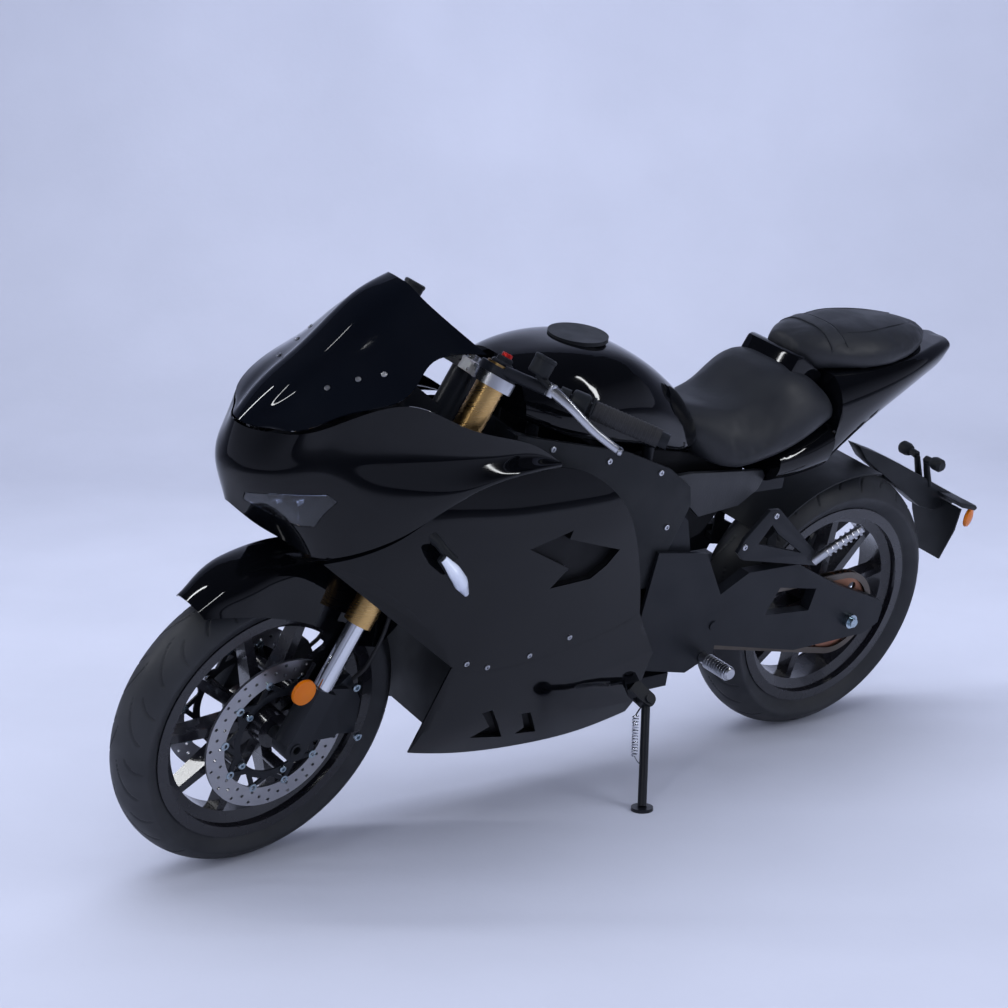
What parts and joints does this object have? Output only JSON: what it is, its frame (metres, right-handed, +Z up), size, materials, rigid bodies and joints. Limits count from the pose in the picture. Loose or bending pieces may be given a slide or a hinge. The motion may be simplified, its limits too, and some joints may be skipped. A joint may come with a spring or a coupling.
{
  "type": "sport motorcycle",
  "caption": "Faired sport motorcycle parked on its side stand, with turning wheels, steering and a folding stand.",
  "frame": {"origin": "floor level under the middle of the parked machine's bounding box", "axes": "+X forward, +Y to the machine's left, +Z up"},
  "size_m": [2.0361, 0.7218, 1.0902],
  "materials": {
    "black_gloss": "deep gloss clear-coated black",
    "black_matte": "moulded matte black plastic",
    "black_metal": "satin black powder coat",
    "rim_black": "satin black painted cast rim",
    "tyre": "black rubber",
    "gold": "gold anodised",
    "chrome": "hard chrome",
    "disc_steel": "ground steel",
    "alloy": "silver alloy",
    "chain_steel": "oiled chain steel",
    "sprocket_copper": "copper-coloured hardened steel",
    "zinc": "blue-white zinc plate",
    "smoke_screen": "smoked polycarbonate",
    "lamp_clear": "clear lamp lens",
    "amber": "amber reflector",
    "lamp_red": "red lamp lens",
    "seat_vinyl": "black seat vinyl",
    "grip_rubber": "black rubber"
  },
  "bodies": {
    "chassis": {"main_frame": "black_metal", "motor_block": "black_metal", "swingarm": "black_metal", "chain": "chain_steel", "rear_axle": "zinc", "rear_caliper": "black_metal", "nose_cowl": "black_gloss", "windscreen": "smoke_screen", "headlamps": "lamp_clear", "instrument_panel": "black_matte", "side_fairing_left": "black_gloss", "side_fairing_right": "black_gloss", "belly_fairing": "black_gloss", "inner_fairing": "black_matte", "fuel_tank": "black_gloss", "filler_cap": "black_matte", "side_covers": "black_matte", "rider_seat": "seat_vinyl", "pillion_seat": "seat_vinyl", "tail_cowl": "black_gloss", "tail_lamp": "lamp_red", "rear_hugger": "black_matte", "plate_holder": "black_matte", "indicators": "lamp_clear", "foot_pegs": "alloy"},
    "steering": {"fork_clamps": "black_metal", "fork_outer_tubes": "gold", "fork_inner_tubes": "chrome", "fork_feet": "black_metal", "front_axle": "black_metal", "front_fender": "black_gloss", "handlebars": "black_metal", "grips": "grip_rubber", "hand_controls": "alloy", "front_calipers": "black_metal", "fork_reflectors": "amber", "brake_hoses": "grip_rubber"},
    "front_wheel": {"front_rim": "rim_black", "front_tyre": "tyre", "front_discs": "disc_steel"},
    "rear_wheel": {"rear_rim": "rim_black", "rear_tyre": "tyre", "rear_sprocket": "sprocket_copper", "rear_disc": "disc_steel"},
    "side_stand": {"side_stand": "black_metal"}
  },
  "joints": [
    {"name": "steering", "type": "hinge", "parent": "chassis", "child": "steering", "pos_m": [0.38942, -0.00439, 0.82728], "axis": [-0.4526, 0.2097, 0.8667], "range_deg": [-30.2, 17.8]},
    {"name": "front_wheel_spin", "type": "hinge", "parent": "steering", "child": "front_wheel", "pos_m": [0.72614, -0.13057, 0.28367], "axis": [-0.0963, 0.9548, -0.2813], "continuous": true},
    {"name": "rear_wheel_spin", "type": "hinge", "parent": "chassis", "child": "rear_wheel", "pos_m": [-0.66859, -0.13199, 0.29983], "axis": [0, 0.972, -0.2351], "continuous": true},
    {"name": "side_stand_fold", "type": "hinge", "parent": "chassis", "child": "side_stand", "pos_m": [-0.0947, -0.00335, 0.19368], "axis": [0.1709, 0.8861, 0.4309], "range_deg": [0, 110.7]}
  ]
}
